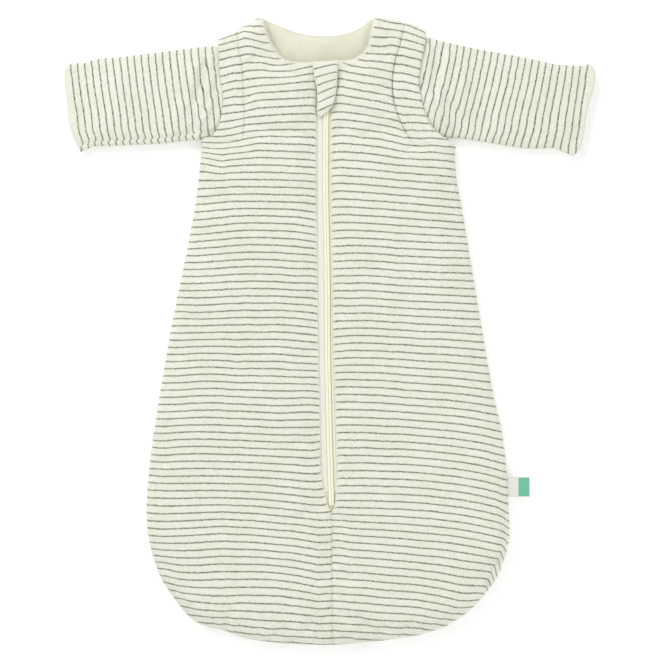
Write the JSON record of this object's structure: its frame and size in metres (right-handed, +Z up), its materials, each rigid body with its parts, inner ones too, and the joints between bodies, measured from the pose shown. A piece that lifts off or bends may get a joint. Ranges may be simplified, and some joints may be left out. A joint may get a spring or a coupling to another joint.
{
  "type": "baby sleeping bag",
  "caption": "Padded striped baby sleeping bag with a long front zip, a guard flap over its slider, flat armhole flaps and zip-on sleeves.",
  "frame": {"origin": "on the floor under the middle of the bag, which lies flat on its back", "axes": "+X across the bag to the viewer's right, +Y from hem to neck, +Z up out of the front"},
  "size_m": [0.5906, 0.7, 0.0255],
  "materials": {
    "striped_terry": "looped terry knit with thin grey-olive stripes",
    "lining_jersey": "plain cream jersey",
    "wadding": "polyester fibre wadding",
    "zip_tape": "woven polyester tape",
    "zip_coil": "nylon coil",
    "slider_enamel": "cream enamel on zinc",
    "label_white": "woven satin label",
    "label_green": "green woven bar"
  },
  "bodies": {
    "bag": {"back_outer": "striped_terry", "back_wadding": "wadding", "back_lining": "lining_jersey", "front_left_outer": "striped_terry", "front_left_wadding": "wadding", "front_left_lining": "lining_jersey", "front_right_outer": "striped_terry", "front_right_wadding": "wadding", "front_right_lining": "lining_jersey", "zip_tape_base": "zip_tape", "zip_bottom_stop": "zip_coil", "armhole_flap_left_back": "striped_terry", "armhole_flap_right_back": "striped_terry", "armhole_tape_left": "zip_tape", "armhole_tape_right": "zip_tape", "armhole_coil_left": "zip_coil", "armhole_coil_right": "zip_coil", "side_label": "label_white", "side_label_bar": "label_green"},
    "lapel_left": {"lapel_left_outer": "striped_terry", "lapel_left_wadding": "wadding", "lapel_left_lining": "lining_jersey", "zip_tape_left": "zip_tape", "zip_coil_left": "zip_coil", "zip_top_stop_left": "zip_coil"},
    "lapel_right": {"lapel_right_outer": "striped_terry", "lapel_right_wadding": "wadding", "lapel_right_lining": "lining_jersey", "zip_tape_right": "zip_tape", "zip_coil_right": "zip_coil", "zip_top_stop_right": "zip_coil", "zip_guard_base": "striped_terry"},
    "guard_flap": {"zip_guard_outer": "striped_terry", "zip_guard_lining": "striped_terry"},
    "main_slider": {"zip_slider": "slider_enamel"},
    "main_pull_tab": {"zip_pull_tab": "slider_enamel"},
    "armhole_flap_left": {"armhole_flap_left_front": "striped_terry"},
    "sleeve_left_slider": {"sleeve_left_zip_slider": "slider_enamel"},
    "sleeve_left_pull": {"sleeve_left_zip_pull": "slider_enamel"},
    "sleeve_left_rim": {"sleeve_left_zip_tape": "zip_tape", "sleeve_left_zip_coil": "zip_coil"},
    "sleeve_left": {"sleeve_left_outer": "striped_terry", "sleeve_left_wadding": "wadding", "sleeve_left_lining": "lining_jersey"},
    "armhole_flap_right": {"armhole_flap_right_front": "striped_terry"},
    "sleeve_right_slider": {"sleeve_right_zip_slider": "slider_enamel"},
    "sleeve_right_pull": {"sleeve_right_zip_pull": "slider_enamel"},
    "sleeve_right_rim": {"sleeve_right_zip_tape": "zip_tape", "sleeve_right_zip_coil": "zip_coil"},
    "sleeve_right": {"sleeve_right_outer": "striped_terry", "sleeve_right_wadding": "wadding", "sleeve_right_lining": "lining_jersey"}
  },
  "joints": [
    {"name": "main_zip_run", "type": "slide", "parent": "bag", "child": "main_slider", "axis": [0.0124, -0.9999, 0], "range_m": [0, 0.45]},
    {"name": "lapel_left_fold", "type": "hinge", "parent": "bag", "child": "lapel_left", "pos_m": [-0.01053, -0.18015, 0.02], "axis": [0.082, -0.9966, 0], "range_deg": [0, 120]},
    {"name": "lapel_right_fold", "type": "hinge", "parent": "bag", "child": "lapel_right", "pos_m": [0.01346, -0.17985, 0.02], "axis": [0.0484, 0.9988, 0], "range_deg": [0, 120]},
    {"name": "guard_fold", "type": "hinge", "parent": "lapel_right", "child": "guard_flap", "pos_m": [-0.005, 0.299, 0.023], "axis": [-1, 0, 0], "range_deg": [0, 180]},
    {"name": "pull_tab_swing", "type": "hinge", "parent": "main_slider", "child": "main_pull_tab", "pos_m": [-0.00416, 0.27396, 0.02235], "axis": [-0.9999, -0.0124, 0], "range_deg": [0, 126]},
    {"name": "sleeve_left_zip_run", "type": "slide", "parent": "bag", "child": "sleeve_left_slider", "axis": [0, -1, 0], "range_m": [0, 0.076]},
    {"name": "sleeve_left_off", "type": "slide", "parent": "bag", "child": "sleeve_left_rim", "axis": [-1, 0, 0], "range_m": [0, 0.2]},
    {"name": "sleeve_left_fold", "type": "hinge", "parent": "sleeve_left_rim", "child": "sleeve_left", "pos_m": [-0.1229, 0.265, 0.0203], "axis": [0, 1, 0], "range_deg": [0, 150]},
    {"name": "armhole_flap_left_fold", "type": "hinge", "parent": "bag", "child": "armhole_flap_left", "pos_m": [-0.0965, 0.222, 0.02], "axis": [-0.0574, 0.9983, 0], "range_deg": [0, 90]},
    {"name": "sleeve_left_pull_swing", "type": "hinge", "parent": "sleeve_left_slider", "child": "sleeve_left_pull", "pos_m": [-0.1121, 0.311, 0.0176], "axis": [-1, 0, 0], "range_deg": [0, 70]},
    {"name": "sleeve_right_zip_run", "type": "slide", "parent": "bag", "child": "sleeve_right_slider", "axis": [0, -1, 0], "range_m": [0, 0.076]},
    {"name": "sleeve_right_off", "type": "slide", "parent": "bag", "child": "sleeve_right_rim", "axis": [1, 0, 0], "range_m": [0, 0.2]},
    {"name": "sleeve_right_fold", "type": "hinge", "parent": "sleeve_right_rim", "child": "sleeve_right", "pos_m": [0.1019, 0.265, 0.0203], "axis": [0, -1, 0], "range_deg": [0, 150]},
    {"name": "armhole_flap_right_fold", "type": "hinge", "parent": "bag", "child": "armhole_flap_right", "pos_m": [0.075, 0.223, 0.02], "axis": [-0.0169, -0.9999, 0], "range_deg": [0, 90]},
    {"name": "sleeve_right_pull_swing", "type": "hinge", "parent": "sleeve_right_slider", "child": "sleeve_right_pull", "pos_m": [0.0879, 0.318, 0.0176], "axis": [-1, 0, 0], "range_deg": [0, 70]}
  ],
  "couplings": [
    {"joint": "lapel_left_fold", "follows": "main_zip_run", "rad_per_m": 4.6537},
    {"joint": "lapel_right_fold", "follows": "main_zip_run", "rad_per_m": 4.6537},
    {"joint": "pull_tab_swing", "follows": "guard_fold", "ratio": 0.69},
    {"joint": "sleeve_left_off", "follows": "sleeve_left_zip_run", "ratio": 2.6313},
    {"joint": "sleeve_left_pull_swing", "follows": "armhole_flap_left_fold", "ratio": 0.75},
    {"joint": "sleeve_right_off", "follows": "sleeve_right_zip_run", "ratio": 2.6313},
    {"joint": "sleeve_right_pull_swing", "follows": "armhole_flap_right_fold", "ratio": 0.75}
  ]
}
